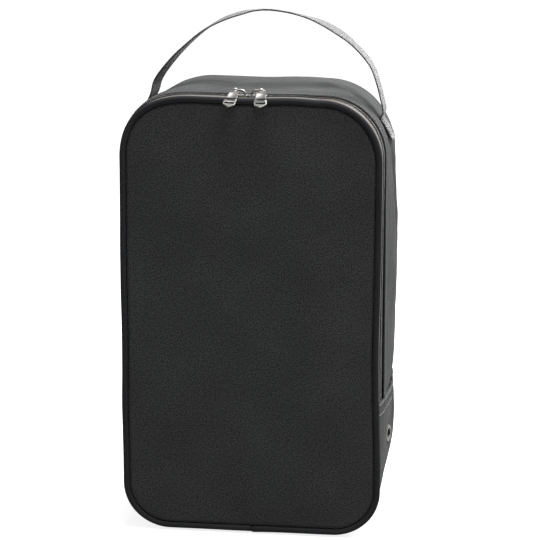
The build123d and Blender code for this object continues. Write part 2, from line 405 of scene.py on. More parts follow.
class Nodes:
    """Short spelling for building a material's node tree."""

    def __init__(self, name):
        self.material = bpy.data.materials.new(name)
        self.material.use_nodes = True
        self.tree = self.material.node_tree
        self.shader = self.tree.nodes["Principled BSDF"]

    def add(self, kind, **settings):
        node = self.tree.nodes.new("ShaderNode" + kind)
        for key, value in settings.items():
            setattr(node, key, value)
        return node

    def link(self, source, target):
        self.tree.links.new(source, target)

    def colour(self, source):
        self.link(source, self.shader.inputs["Base Color"])

    def normal(self, source):
        self.link(source, self.shader.inputs["Normal"])

    def surface(self, **values):
        """The material with constant values on these of its sockets."""
        for name, value in values.items():
            self.shader.inputs[SURFACE[name]].default_value = value
        return self.material

    def math(self, operation, first, second=None):
        node = self.add("Math", operation=operation)
        for socket, value in zip(node.inputs, (first, second)):
            if value is None:
                continue
            if isinstance(value, (int, float)):
                socket.default_value = value
            else:
                self.link(value, socket)
        return node.outputs[0]

    def cloth_uv(self):
        """The piece's own flat cloth coordinates, in millimetres."""
        node = self.add("UVMap", uv_map="cloth")
        split = self.add("SeparateXYZ")
        self.link(node.outputs["UV"], split.inputs[0])
        return node.outputs["UV"], split.outputs["X"], split.outputs["Y"]

    def noise(self, vector, scale, detail=2.0, roughness=0.5):
        node = self.add("TexNoise")
        node.inputs["Scale"].default_value = scale
        node.inputs["Detail"].default_value = detail
        node.inputs["Roughness"].default_value = roughness
        self.link(vector, node.inputs["Vector"])
        return node.outputs["Fac"]

    def ramp(self, factor, stops):
        node = self.add("ValToRGB")
        elements = node.color_ramp.elements
        while len(elements) < len(stops):
            elements.new(0.5)
        for element, (position, colour) in zip(elements, stops):
            element.position = position
            element.color = (*colour, 1.0)
        self.link(factor, node.inputs["Fac"])
        return node.outputs["Color"]

    def mix(self, factor, first, second, blend):
        node = self.add("Mix", data_type="RGBA", blend_type=blend)
        node.inputs[0].default_value = factor
        self.link(first, node.inputs[6])
        self.link(second, node.inputs[7])
        return node.outputs[2]

    def bump(self, height, strength, distance_mm):
        node = self.add("Bump")
        node.inputs["Strength"].default_value = strength
        node.inputs["Distance"].default_value = distance_mm * MM
        self.link(height, node.inputs["Height"])
        return node.outputs["Normal"]

    def weave(self, u, v, pitch):
        """Height of a plain weave: threads along u and v that pass over and under."""
        phases = [self.math("MULTIPLY", axis, math.pi / pitch) for axis in (u, v)]
        over, under = (
            self.math("ABSOLUTE", self.math("MULTIPLY", *(self.math(wave, phase) for phase in phases)))
            for wave in ("SINE", "COSINE")
        )
        return self.math("ADD", self.math("MULTIPLY", over, 0.6), under)


def cloth_material(name, colour, pitch, grain=0.6, rough=0.82, sheen=0.1, relief=0.1, gloss=0.12):
    """Woven polyester: threads, uneven yarn that shows as grain, broad patches of painted light and shade
    for the padding's soft undulations, and a soft sheen.
    """
    n = Nodes(name)
    uv, u, v = n.cloth_uv()
    threads = n.weave(u, v, pitch)
    yarn = n.noise(uv, GRAIN_SCALE, detail=3.0, roughness=0.7)
    # painted light and shade: patches about 50 mm across, up to 14% lighter or darker, stand in for the soft
    # undulations of padded cloth
    painted_undulation = n.noise(uv, 0.018, detail=3.0)
    woven = n.ramp(n.math("MULTIPLY", threads, 0.8), [(0.0, tint(colour, 0.7)), (1.0, tint(colour, 1.3))])
    grained = n.ramp(yarn, [(0.40, (1 - grain,) * 3), (0.60, (1 + grain,) * 3)])
    painted_light_and_shade = n.ramp(painted_undulation, [(0.35, (0.86, 0.86, 0.88)), (0.65, (1.14, 1.14, 1.12))])
    n.colour(n.mix(1.0, n.mix(1.0, woven, grained, "MULTIPLY"), painted_light_and_shade, "MULTIPLY"))
    n.normal(n.bump(n.math("ADD", threads, n.math("MULTIPLY", yarn, 0.9)), 0.7, relief))
    rough_ends = [(0.2, (rough - 0.06,) * 3), (0.8, (rough + 0.08,) * 3)]
    n.link(n.ramp(yarn, rough_ends), n.shader.inputs["Roughness"])
    return n.surface(sheen=sheen, sheen_rough=0.45, gloss=gloss)


def webbing_material(name):
    """Ribbed webbing: weft ribs across, warp cords along, darker turns at both edges."""
    n = Nodes(name)
    uv, u, v = n.cloth_uv()
    ribs = n.math("SINE", n.math("MULTIPLY", u, 2 * math.pi / RIB_PITCH))
    cords = n.math("SINE", n.math("MULTIPLY", v, 2 * math.pi / 1.3))
    relief = n.math("ADD", n.math("MULTIPLY", ribs, 0.7), n.math("MULTIPLY", cords, 0.3))
    yarn = n.noise(uv, 0.9, detail=3.0, roughness=0.7)
    tone = n.math("ADD", n.math("MULTIPLY", relief, 0.26), yarn)
    body = n.ramp(tone, [
        (0.25, (0.0065, 0.0065, 0.0078)),
        (0.5, (0.017, 0.017, 0.019)),
        (0.75, (0.034, 0.034, 0.0365)),
    ])
    from_middle = n.math("DIVIDE", n.math("ABSOLUTE", v), STRAP_WIDTH / 2)
    turn = n.ramp(from_middle, [(0.88, (1.0, 1.0, 1.0)), (0.97, (0.3, 0.27, 0.3))])
    n.colour(n.mix(1.0, body, turn, "MULTIPLY"))
    n.normal(n.bump(relief, 0.9, 0.2))
    n.link(n.ramp(yarn, [(0.2, (0.5,) * 3), (0.8, (0.68,) * 3)]), n.shader.inputs["Roughness"])
    return n.surface(sheen=0.12, sheen_rough=0.4, gloss=0.25)


def metal_material(name, colour, rough):
    """Nickel plate with faint scratches and worn patches."""
    n = Nodes(name)
    where = n.add("TexCoord").outputs["Object"]
    wear = n.noise(where, 260.0, detail=4.0, roughness=0.6)
    n.colour(n.ramp(wear, [(0.3, tint(colour, 0.82)), (0.7, colour)]))
    n.link(n.ramp(wear, [(0.3, (rough + 0.12,) * 3), (0.7, (rough,) * 3)]), n.shader.inputs["Roughness"])
    n.normal(n.bump(n.noise(where, 1900.0), 0.25, 0.02))
    return n.surface(metal=1.0)


def tape_material(name, colour):
    """Zip tape: fine herringbone running along the tape."""
    n = Nodes(name)
    uv, u, v = n.cloth_uv()
    chevrons = n.math("PINGPONG", v, 1.1)
    slant = n.math("SINE", n.math("MULTIPLY", n.math("ADD", u, chevrons), 2 * math.pi / 0.62))
    tone = n.math("ADD", n.math("MULTIPLY", slant, 0.16), n.noise(uv, 2.2, detail=3.0))
    n.colour(n.ramp(tone, [(0.25, tint(colour, 0.55)), (0.8, tint(colour, 1.3))]))
    n.normal(n.bump(slant, 0.5, 0.06))
    return n.surface(rough=0.7, gloss=0.15, sheen=0.03, sheen_rough=0.4)


def grained_material(name, colour, scale, dark, relief, detail=2.0, **surface):
    """Thread, nylon or moulded plastic: its tone and its surface vary with a fine grain."""
    n = Nodes(name)
    grain = n.noise(n.add("TexCoord").outputs["Object"], scale, detail)
    n.colour(n.ramp(grain, [(0.3, tint(colour, dark)), (0.7, colour)]))
    n.normal(n.bump(grain, *relief))
    return n.surface(**surface)


def thread_material(name, colour):
    return grained_material(name, colour, 1500.0, 0.6, (0.5, 0.05), rough=0.6, sheen=0.2)


PANEL_CLOTH = cloth_material("panel_cloth", (0.0092, 0.0095, 0.0098), 0.8, grain=0.85, sheen=0.01)
GUSSET_CLOTH = cloth_material(
    "gusset_cloth", (0.019, 0.0195, 0.0195), 0.8, grain=0.65, sheen=0.01, gloss=0.05
)
PIPING_CLOTH = cloth_material(
    "piping_cloth", (0.0062, 0.0064, 0.007), 0.7, grain=0.3, relief=0.05, sheen=0.01, gloss=0.06
)
LINING_CLOTH = cloth_material("lining_cloth", (0.050, 0.051, 0.054), 0.45, grain=0.2, rough=0.6, relief=0.04)
TAPE_CLOTH = tape_material("zip_tape_weave", (0.042, 0.0375, 0.035))
COIL_NYLON = grained_material(
    "coil_nylon", (0.009, 0.008, 0.0075), 900.0, 0.75, (0.15, 0.03), rough=0.5, gloss=0.15
)
WEBBING = webbing_material("webbing_weave")
NICKEL = metal_material("satin_nickel", (0.14, 0.138, 0.131), 0.3)
DARK_NICKEL = metal_material("dark_nickel", (0.052, 0.049, 0.046), 0.3)
# near-black metal for the walls of the pull tabs' slots: painted shade inside the slot
SLOT_PAINTED_SHADE = metal_material("slot_painted_shade", (0.006, 0.006, 0.006), 0.5)
THREAD = thread_material("sewing_thread", (0.021, 0.021, 0.0225))
WEBBING_THREAD = thread_material("handle_thread", (0.055, 0.055, 0.058))
BOARD = grained_material("board_plastic", (0.09, 0.09, 0.09), 700.0, 0.556, (0.4, 0.1), 4.0, rough=0.55)


def paint(piece, material):
    """The piece in this material only."""
    piece.data.materials.clear()
    piece.data.materials.append(material)
    return piece


def dressed(piece, material, slot, *nodes):
    """The piece in its material, in place of its CAD nodes; its slot is not used."""
    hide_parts(*nodes)
    return paint(piece, material)


# ---------------------------------------------------------------- flat panels
def edge_distance(x, z, half, low, high, low_radius, high_radius):
    """How far inside a rounded rectangle each point lies."""
    side = np.abs(x)
    inside = np.minimum(half - side, np.minimum(high - z, z - low))
    corners = ((high_radius, high - high_radius, 1), (low_radius, low + low_radius, -1))
    for radius, centre, way in corners:
        dx = side - (half - radius)
        dz = (z - centre) * way
        inside = np.where((dx > 0) & (dz > 0), radius - np.hypot(dx, dz), inside)
    return inside


EDGE_STEPS = (0.0, 0.3, 0.7, 1.2, 1.8, 2.5, 3.4, 4.6, 6.2, 8.4, 11.2)


def panel_grid(half, low, high, low_radius, high_radius, step=3.0, fold=None):
    """Rows of points that fill a rounded rectangle, closer together at its edge and at the fold."""
    quarter = np.radians(np.linspace(0, 90, 27))
    bottom = low + low_radius * (1 - np.cos(quarter))
    top = high - high_radius * (1 - np.cos(quarter))[::-1]
    middle = np.arange(bottom[-1] + step, top[0] - step / 2, step)
    if fold is not None:
        near = np.arange(fold - 14, fold + 14.1, 1.0)
        middle = np.concatenate([middle[np.abs(middle - fold) > 15.5], near])
    z = np.unique(np.round(np.concatenate([bottom, middle, top]), 6))
    below = np.clip((low + low_radius - z) / low_radius, 0, 1)
    above = np.clip((z - high + high_radius) / high_radius, 0, 1)
    width = half - low_radius * (1 - np.sqrt(1 - below ** 2)) - high_radius * (1 - np.sqrt(1 - above ** 2))
    inner = np.linspace(EDGE_STEPS[-1], half, int(half / step))
    from_edge = np.concatenate([EDGE_STEPS[:-1], inner])
    right = 1 - from_edge / half
    across = np.concatenate([-right, right[-2::-1]])
    return across[None, :] * width[:, None], np.repeat(z[:, None], len(across), 1)


def panel_between(name, x, z, y, inner_y, warp):
    """Solid panel from an outer face at depths y to a flat inner face."""
    outer = warp(np.stack([x, y, z], -1))
    inner = warp(np.stack([x, np.full_like(x, inner_y), z], -1))
    return outward_faces(two_sided(name, outer, inner, np.stack([x, z], -1)))


def rolled(distance, radius, depth):
    """How far a padded edge turns down, this far from its seam."""
    t = 1 - np.clip(distance / radius, 0, 1)
    return depth * (1 - np.sqrt(np.clip(1 - t * t, 0, 1)))


PANEL_SHAPE = dict(half=PANEL_TOP[0], low=PANEL_LOW[2], high=PANEL_TOP[2], low_radius=33.0, high_radius=43.0)
BACK_SHAPE = dict(half=103.2, low=4.0, high=354.4, low_radius=74.0, high_radius=51.0)


def make_front_panel():
    x, z = panel_grid(**PANEL_SHAPE, fold=FOLD_Z)
    inside = edge_distance(x, z, **PANEL_SHAPE)
    crown = 1.4 * smooth(inside / 60) + 0.3 * smooth(inside / 20) * ripples(x, z, 5, 80)
    y = FRONT_FACE_Y + rolled(inside, 3.2, 2.8) - crown
    piece = panel_between("front_panel", x, z, y, FRONT_INNER_Y - 0.6, front_warp)
    dressed(
        piece, PANEL_CLOTH, "shell_fabric",
        "front_panel_lower", "front_panel_flap", "front_foam_lower", "front_foam_flap",
    )
    return piece


def make_front_lining():
    x, z = panel_grid(**PANEL_SHAPE, step=5.0, fold=FOLD_Z)
    puff = 0.5 * smooth(edge_distance(x, z, **PANEL_SHAPE) / 14) * (1 + 0.6 * ripples(x, z, 9, 45))
    piece = panel_between("front_lining", x, z, FRONT_INNER_Y + puff, FRONT_INNER_Y - 0.5, front_warp)
    dressed(piece, LINING_CLOTH, "lining", "front_lining_lower", "front_lining_flap")
    return piece


def make_back_panel():
    x, z = panel_grid(**BACK_SHAPE)
    inside = edge_distance(x, z, **BACK_SHAPE)
    crown = 1.6 * smooth(inside / 60) + 0.55 * smooth(inside / 18) * ripples(x, z, 21, 90)
    y = BACK_Y - rolled(inside, 4.2, 3.0) + crown
    piece = panel_between("back_panel_padded", x, z, y, BACK_INNER_Y + 0.7, settle)
    dressed(piece, GUSSET_CLOTH, "shell_fabric", "back_panel", "back_foam")
    return piece


def make_back_lining():
    x, z = panel_grid(**BACK_SHAPE, step=5.0)
    puff = 0.6 * smooth(edge_distance(x, z, **BACK_SHAPE) / 14) * (1 + 0.6 * ripples(x, z, 31, 50))
    piece = panel_between("back_lining_sheet", x, z, BACK_INNER_Y - puff, BACK_INNER_Y + 0.6, settle)
    dressed(piece, LINING_CLOTH, "lining", "back_lining")
    return piece


# ---------------------------------------------------------------- piping and bindings
def in_depth(outline, y):
    """X-Z points at one depth as points in space."""
    return np.stack([outline[:, 0], np.full(len(outline), float(y)), outline[:, 1]], 1)


def loop_frame(points, normals, y, warp):
    """Centres, outward and forward directions along an outline at one depth."""
    centres = warp(in_depth(points, y))
    outward = in_depth(normals, 0)
    forward = np.repeat(np.array([[0.0, -1.0, 0.0]]), len(points), 0)
    return centres, outward, forward


def round_section(radius, sides):
    """Circles along a sweep, with a radius for each of its points."""
    turn = np.linspace(0, 2 * math.pi, sides, endpoint=False)
    circle = np.stack([np.cos(turn), np.sin(turn)], 1)
    return circle[None] * np.reshape(radius, (-1, 1, 1))


def make_piping():
    """Roll of cloth round the front, thicker where its two ends meet under the bag."""
    roll = PIPING_ROLL / 2
    points, normals = loop(
        PIPING_HALF - roll, PIPING_LOW[2] + roll, PIPING_TOP[2] - roll, 35.5, 45.5
    )
    points, normals, along = resampled(points, normals, 1.5)
    start = np.exp(-along / 9.0)
    cap_in = 1 - 0.35 * np.exp(-along / 0.9)
    radius = roll * (1 + 0.16 * start + 0.02 * np.sin(along / 23) + 0.012 * np.sin(along / 7)) * cap_in
    centres, outward, forward = loop_frame(points, normals, PIPING_Y, front_warp)
    centres = centres + outward * (0.55 * start)[:, None]
    section = round_section(radius, 16)
    piece = tube("piping_roll", centres, outward, forward, section, twist_uv=0.8)
    return dressed(piece, PIPING_CLOTH, "piping", "front_piping_lower", "front_piping_flap")


def binding_section(width, depth, count):
    """Flat folded tape with a rounded edge, standing in from a seam."""
    half = width / 2
    ring = np.array([
        (-half, -depth), (half, -depth), (half, -depth * 0.2), (half * 0.7, 0.0),
        (-half * 0.7, 0.0), (-half, -depth * 0.2),
    ])
    return np.repeat(ring[None], count, 0)


def seam_tape(name, low, high, y, depth, radii, warp):
    """Binding tape that stands in from a seam, all the way round."""
    points, normals = loop(high[0] - 1.0, low[2] + 1.0, high[2] - 1.0, *radii)
    points, normals, _ = resampled(points, normals, 2.5)
    centres, outward, forward = loop_frame(points, normals, y, warp)
    return tube(name, centres, outward, forward, binding_section(1.8, depth, len(points)))


def make_front_binding():
    low, high = span("front_binding_lower")[0], span("front_binding_flap")[1]
    piece = seam_tape("front_seam_tape", low, high, high[1], low[1] - high[1], (34.0, 44.0), front_warp)
    return dressed(piece, LINING_CLOTH, "binding", "front_binding_lower", "front_binding_flap")


def make_back_binding():
    low, high = span("back_seam_binding")
    piece = seam_tape("back_seam_tape", low, high, low[1], high[1] - low[1], (64.0, 50.0), settle)
    return dressed(piece, LINING_CLOTH, "binding", "back_seam_binding")


# ---------------------------------------------------------------- gussets
def profile_steps(profile, step):
    """A section drawn with a few (depth, offset) points, with points added along its long runs."""
    profile = np.array(profile, float)
    made = [profile[0]]
    for a, b in zip(profile[:-1], profile[1:]):
        pieces = max(1, int(round(np.linalg.norm(b - a) / step)))
        made += [a + (b - a) * (i + 1) / pieces for i in range(pieces)]
    return np.array(made)


def strip(profile, outline):
    """Grid and flat coordinates of a cloth strip: one outline for each (depth, offset) of its section.

    An outline is a function that gives points, their normals and how far each point moves outward.
    """
    rows, uvs = [], []
    for (y, offset), v in zip(profile, lengths(profile)):
        points, normals, move = outline(y, offset)
        rows.append(in_depth(points, y) + in_depth(normals, 0) * np.reshape(move, (-1, 1)))
        uvs.append(np.stack([lengths(points), np.full(len(points), v)], 1))
    return np.array(rows), np.array(uvs)


def side_bulge(x, y, z):
    """How far the soft sides swell between their seams, and where they are drawn in."""
    swell = np.exp(-(((z - 205) / np.where(z < 205, 70.0, 62.0)) ** 2))
    hem = bump(z, 110, 17)
    across = smooth((y + 44) / 46) * smooth((70 - y) / 30)
    right = 2.2 * swell - 2.2 * bump(z, 332, 20) - 1.5 * bump(z, 300, 20) - 2.3 * hem
    left = 1.0 * swell - 3.6 * bump(z, 338, 20) - 1.7 * hem
    beside = smooth((np.abs(x) - 75) / 25)
    return across * beside * np.where(x > 0, right, left)


def side_folds(x, y, z):
    """Slanting creases of the sides: one under each strap end and a softer one at mid height."""
    right = -1.5 * bump(y - 2 + 0.30 * (z - 300), 0, 5) * smooth((z - 215) / 30) * smooth((322 - z) / 16)
    right = right + bump(y - 16 + 0.30 * (z - 300), 0, 7) * smooth((z - 205) / 30) * smooth((318 - z) / 20)
    right = right - 1.1 * bump(y - 30 - 0.12 * (z - 180), 0, 6) * bump(z, 180, 50)
    left = -0.8 * bump(y - 4 - 0.25 * (z - 290), 0, 6) * bump(z, 285, 40)
    across = smooth((y + 42) / 12) * smooth((60 - y) / 14)
    beside = smooth((np.abs(x) - 80) / 18)
    return across * beside * np.where(x > 0, right, left)


def top_shape(x, y, z):
    """Folds of the top: a slack valley at the left and a pull at the handle's right end."""
    on_top = smooth((z - 335) / 18)
    valley = -1.8 * bump(x + 24 - 0.45 * y, 0, 8) * smooth((y + 40) / 16) * smooth((58 - y) / 20)
    crest = 1.1 * bump(x + 48 - 0.3 * y, 0, 16) * smooth((y + 42) / 25) * smooth((60 - y) / 20)
    pull = -1.6 * bump(x - 76 + 0.6 * y, 0, 6) * smooth((y + 42) / 14) * smooth((30 - y) / 20)
    ridge = 0.7 * bump(x - 62 + 0.6 * y, 0, 8) * smooth((y + 42) / 14) * smooth((40 - y) / 20)
    return on_top * (valley + crest + pull + ridge)


BACK_ROLL = (
    (50.0, 4.3), (55.0, 4.0), (58.5, 3.3), (61.0, 2.1), (62.6, 0.5), (63.2, -1.1), (62.6, -2.7),
)
UPPER_PROFILE = (
    (GUSSET_FOLD_Y + 6.0, 1.5), (GUSSET_FOLD_Y + 2.0, 1.6), (GUSSET_FOLD_Y + 0.4, 1.7),
    (GUSSET_FOLD_Y, 2.0), (GUSSET_FOLD_Y + 0.3, 2.5), (GUSSET_FOLD_Y + 1.2, 2.9),
    (GUSSET_FOLD_Y + 3.0, 3.2), (GUSSET_FOLD_Y + 7.0, 3.7), (GUSSET_FOLD_Y + 14.0, 4.2),
) + BACK_ROLL
UPPER_LOW = FOLD_Z - 5.0
HEM_LIFT = 0.9           # the folded edge beside the zip stands off the tape by this much more low down


def upper_moves(x, y, z):
    return side_bulge(x, y, z) + side_folds(x, y, z) + top_shape(x, y, z)


def upper_outline(y, offset):
    points, normals = gusset_arch(offset, UPPER_LOW, y)
    x, z = points.T
    along, depth = lengths(points), np.full(len(points), y)
    lifted = HEM_LIFT * smooth((330 - z) / 150) * bump(y, GUSSET_FOLD_Y + 1, 6)
    free = smooth((y - GUSSET_FOLD_Y) / 12) * smooth((62 - y) / 12)
    move = upper_moves(x, y, z) + lifted + 0.6 * free * ripples(along, depth, 3, 70)
    return points, normals, move + 0.3 * free * ripples(along * 0.5, 1.6 * depth, 17, 22)


def make_upper_gusset():
    rows, uvs = strip(profile_steps(UPPER_PROFILE, 3.0), upper_outline)
    grid = settle(rows)
    piece = shell("upper_gusset_cloth", grid, uvs, 1.0, (0, 0, 1))
    dressed(piece, GUSSET_CLOTH, "gusset_fabric", "upper_gusset", "upper_gusset_foam")
    return piece, grid


BASE_PROFILE = (
    (-61.4, -1.8), (-61.2, 0.0), (-60.4, 0.8), (-57.5, 1.9), (-52.0, 3.0), (-45.0, 3.9), (-38.0, 4.3),
) + BACK_ROLL
HEM_TOP = FOLD_Z + 1.4
EYELET_AT = sum(span("eyelet_right")) / 2
EYELET_TURN = 0.17       # slope of the cloth round an eyelet, which faces a little to the front


def base_bulge(x, y, z):
    """The base section is fullest below its hem and stays flat round the eyelets."""
    full = bump(z, 82, 24)
    beside = smooth((np.abs(x) - 92) / 12)
    across = smooth((y + 55) / 40) * smooth((66 - y) / 26)
    eyelet = bump(np.hypot(y - EYELET_AT[1], z - EYELET_AT[2]), 0, 11)
    fold = -1.8 * bump(y - 8 - 0.16 * (z - 84), 0, 4.5) + 1.0 * bump(y - 18 - 0.1 * (z - 84), 0, 6)
    fold = fold - 1.2 * bump(y - 38, 0, 6) - 1.5 * bump(y + 40 - 0.1 * (z - 84), 0, 5)
    pucker = 0.5 * np.sin(2 * math.pi * y / 8.5 + 0.8 * np.sin(y / 9)) * bump(z, HEM_TOP - 7, 6)
    high = bump(z, 88, 20)
    own = 0.6 * full * across + fold * high * across + pucker * smooth((y + 58) / 12) * smooth((60 - y) / 12)
    return beside * (own * (1 - eyelet) - 0.7 * eyelet + EYELET_TURN * (y - EYELET_AT[1]) * eyelet)


def base_radius(y):
    """Radius of the bottom corners, rounder toward the back."""
    to_front = 1 - min(max((y + 60) / 95, 0.0), 1.0)
    return 40 + 33 * (1 - to_front ** 2)


def base_outline(y, offset):
    radius = base_radius(y) + min(offset, 0)
    points, normals = trough(ZIP_HALF + SIDE_SHARE * offset, 0.9 + (4.3 - offset) * 0.5, radius, HEM_TOP)
    x, z = points.T
    free = smooth((y + 58) / 14) * smooth((62 - y) / 12) * smooth((z - 6) / 20)
    move = base_bulge(x, y, z) + 0.45 * free * ripples(lengths(points), np.full(len(points), y), 12, 55)
    return points, normals, move


def make_base_gusset():
    rows, uvs = strip(profile_steps(BASE_PROFILE, 3.0), base_outline)
    rows[..., 2] = np.maximum(rows[..., 2], 0.35)
    grid = settle(rows)
    piece = shell("base_gusset_cloth", grid, uvs, 1.1, (0, 0, -1))
    dressed(piece, GUSSET_CLOTH, "gusset_fabric", "base_gusset", "base_gusset_foam")
    return piece, grid


LINING_BACK = ((50.0, 1.0), (58.0, -0.6), (61.0, -3.0))


def upper_lining_outline(y, offset):
    points, normals = gusset_arch(offset, UPPER_LOW, y)
    x, z = points.T
    move = upper_moves(x, y, z) + 0.4 * ripples(lengths(points), np.full(len(points), y), 41, 50)
    return points, normals, move


def base_lining_outline(y, offset):
    radius = base_radius(y) + min(offset, 0) - 3.6
    low = 3.6 - min(offset, 0) * 0.5
    points, normals = trough(ZIP_HALF + SIDE_SHARE * offset, low, radius, UPPER_LOW + 3)
    return points, normals, base_bulge(points[:, 0], y, points[:, 1])


def make_upper_lining():
    profile = profile_steps(((-36.0, 0.4), (-30.0, 1.0)) + LINING_BACK, 6.0)
    rows, uvs = strip(profile, upper_lining_outline)
    piece = shell("upper_lining_sheet", settle(rows), uvs, 0.5, (0, 0, 1))
    dressed(piece, LINING_CLOTH, "lining", "upper_gusset_lining")
    return piece


def make_base_lining():
    profile = profile_steps(((-58.5, -2.4), (-54.0, 0.2), (-48.0, 0.9)) + LINING_BACK, 6.0)
    rows, uvs = strip(profile, base_lining_outline)
    piece = shell("base_lining_sheet", settle(rows), uvs, 0.5, (0, 0, -1))
    dressed(piece, LINING_CLOTH, "lining", "base_gusset_lining")
    return piece


BOARD_REACH = 17.0        # the board stops this far beyond the flat part of the bottom
BOARD_TOP = 3.4
BOARD_THICK = 1.3


def make_base_board():
    """Stiffener between cloth and lining, narrower toward the back where the bottom rounds up."""
    low, high = span("base_board")
    half_outline = ZIP_HALF + SIDE_SHARE * 4.3
    rows, uvs = [], []
    for y in np.linspace(low[1], high[1], 25):
        radius = base_radius(y)
        flat = half_outline - radius
        half = min(high[0], flat + BOARD_REACH)
        x = np.linspace(-half, half, 33)
        beyond = np.maximum(np.abs(x) - flat, 0)
        z = radius - np.sqrt((radius - BOARD_TOP) ** 2 - beyond ** 2)
        rows.append(np.stack([x, np.full(len(x), y), z], 1))
        uvs.append(np.stack([x, np.full(len(x), y)], 1))
    piece = shell("base_board_plate", settle(np.array(rows)), np.array(uvs), BOARD_THICK, (0, 0, 1))
    piece.data.polygons.foreach_set("use_smooth", np.zeros(len(piece.data.polygons), bool))
    return dressed(piece, BOARD, "board", "base_board")


def punch(piece, centre, radius):
    """Round hole through cloth at an eyelet."""
    bpy.ops.mesh.primitive_cylinder_add(
        vertices=40, radius=radius * MM, depth=0.03, location=tuple(np.array(centre) * MM),
        rotation=(0, math.pi / 2, 0),
    )
    cutter = bpy.context.object
    modifier = piece.modifiers.new("hole", "BOOLEAN")
    modifier.operation = "DIFFERENCE"
    modifier.solver = "EXACT"
    modifier.object = cutter
    applied(piece)
    bpy.data.objects.remove(cutter)
    return piece


# ---------------------------------------------------------------- zip
def tape_outline(y, offset):
    return (*gusset_arch(offset, FOLD_Z - 4), 0.0)


def zip_tape(name, profile):
    rows, uvs = strip(profile_steps(profile, 1.0), tape_outline)
    return shell(name, rows, uvs, 0.7, (0, 0, 1))


FRONT_TAPE = ((-61.6, -0.6), (-59.0, -0.1), (-56.0, 0.1), (-54.8, 0.1), (-54.2, -0.2), (-54.0, -1.0))
REAR_TAPE = (
    (-49.2, -1.2), (-49.0, -0.3), (-48.4, 0.1), (-46.6, 0.5), (-45.0, 0.8), (-43.0, 0.9), (-37.0, 0.9),
)
TAPE_SINK = 0.9          # the front tape lies this much lower than the piping along the top


def move_mesh(piece, mover):
    """Applies a point function, in millimetres, to a mesh."""
    flat = np.zeros(len(piece.data.vertices) * 3, np.float32)
    piece.data.vertices.foreach_get("co", flat)
    moved = mover(flat.reshape(-1, 3).astype(float) / MM) * MM
    piece.data.vertices.foreach_set("co", moved.astype(np.float32).ravel())
    piece.data.update()
    return piece


def zip_blend_shape(points):
    """The front half of the zip follows the front's warp and the rear half the body's."""
    front = front_warp(points)
    rear = settle(points)
    w = smooth((points[..., 1] + 56) / 12)[..., None]
    return front * (1 - w) + rear * w


def sunk_on_top(points):
    """The front tape lies lower behind the piping along the top than down the sides."""
    moved = points.copy()
    moved[..., 2] -= TAPE_SINK * smooth((points[..., 2] - 318) / 26)
    return moved


def make_tapes():
    front = move_mesh(zip_tape("zip_tape_front_cloth", FRONT_TAPE), sunk_on_top)
    front = dressed(move_mesh(front, zip_blend_shape), TAPE_CLOTH, "zip_tape", "zip_tape_front")
    rear = move_mesh(zip_tape("zip_tape_rear_cloth", REAR_TAPE), zip_blend_shape)
    rear = dressed(rear, TAPE_CLOTH, "zip_tape", "zip_tape_rear")
    return front, rear


def capsules(name, centres, along, across, normal, half_length, radius, height):
    """Many small rounded beads as one mesh: each long one way, with flattened height."""
    rings = ((-1.0, 0.0), (-0.86, 0.62), (-0.45, 1.0), (0.45, 1.0), (0.86, 0.62), (1.0, 0.0))
    sides = 6
    turn = np.linspace(0, 2 * math.pi, sides, endpoint=False)
    local = [(-half_length, 0.0, 0.0)]
    for t, r in rings[1:-1]:
        local += [(t * half_length, r * radius * math.cos(a), r * height * math.sin(a)) for a in turn]
    local.append((half_length, 0.0, 0.0))
    local = np.array(local)
    count = len(local)
    vertices = (
        centres[:, None, :]
        + local[None, :, :1] * along[:, None, :]
        + local[None, :, 1:2] * across[:, None, :]
        + local[None, :, 2:] * normal[:, None, :]
    )
    bead = [(0, 1 + (j + 1) % sides, 1 + j) for j in range(sides)]
    for ring in range(len(rings) - 3):
        for j in range(sides):
            k = (j + 1) % sides
            a = 1 + ring * sides
            bead.append((a + j, a + k, a + sides + k, a + sides + j))
    last = 1 + (len(rings) - 3) * sides
    bead += [(count - 1, last + j, last + (j + 1) % sides) for j in range(sides)]
    faces = [tuple(i * count + q for q in face) for i in range(len(centres)) for face in bead]
    return outward_faces(add_object(name, vertices.reshape(-1, 3), faces))


def make_coils():
    """Coil heads of the two halves, interlocked over the gap between the tape edges."""
    points, normals = gusset_arch(0.0, FOLD_Z - 3)
    points, normals, _ = resampled(points, normals, 0.8)
    made = []
    halves = (
        ("coil_heads_front", "zip_coil_front", ZIP_Y - 1.0),
        ("coil_heads_rear", "zip_coil_rear", ZIP_Y + 1.0),
    )
    for half, (name, node, y) in enumerate(halves):
        at, out = points[half::2], in_depth(normals[half::2], 0)
        centres = in_depth(at, y) + 0.5 * out
        depth = np.repeat(np.array([[0.0, 1.0, 0.0]]), len(at), 0)
        run = np.cross(depth, out)
        piece = capsules(name, zip_blend_shape(centres), depth, run, out, 1.5, 0.52, 0.6)
        made.append(dressed(piece, COIL_NYLON, "zip_coil", node))
    return made


# ---------------------------------------------------------------- stitching


def stitch_row(name, line, normal, step=3.0, length=2.3, radius=0.32, material=THREAD):
    """Topstitching along a line of points."""
    along = lengths(line)
    count = int(along[-1] / step)
    wanted = (np.arange(count) + 0.5) * step
    centres = np.stack([np.interp(wanted, along, c) for c in line.T], 1)
    ahead = np.stack([np.interp(wanted + 0.5, along, c) for c in line.T], 1)
    normals = np.stack([np.interp(wanted, along, c) for c in normal.T], 1)
    normals /= np.linalg.norm(normals, axis=1)[:, None]
    run = ahead - centres
    run /= np.linalg.norm(run, axis=1)[:, None]
    across = np.cross(normals, run)
    piece = capsules(name, centres, run, across, normals, length / 2, radius, radius)
    return paint(piece, material)


def make_edge_stitches(grid):
    """Topstitching along the folded edge beside the zip."""
    row = 5 + int(np.argmin(np.abs(grid[5:, grid.shape[1] // 2, 1] - (GUSSET_FOLD_Y + 2.0))))
    normal = grid_normals(grid, (0, 0, 1))[row]
    line = grid[row] + normal * 0.1
    keep = line[:, 2] > HEM_TOP
    return stitch_row("zip_edge_stitches", line[keep], normal[keep])


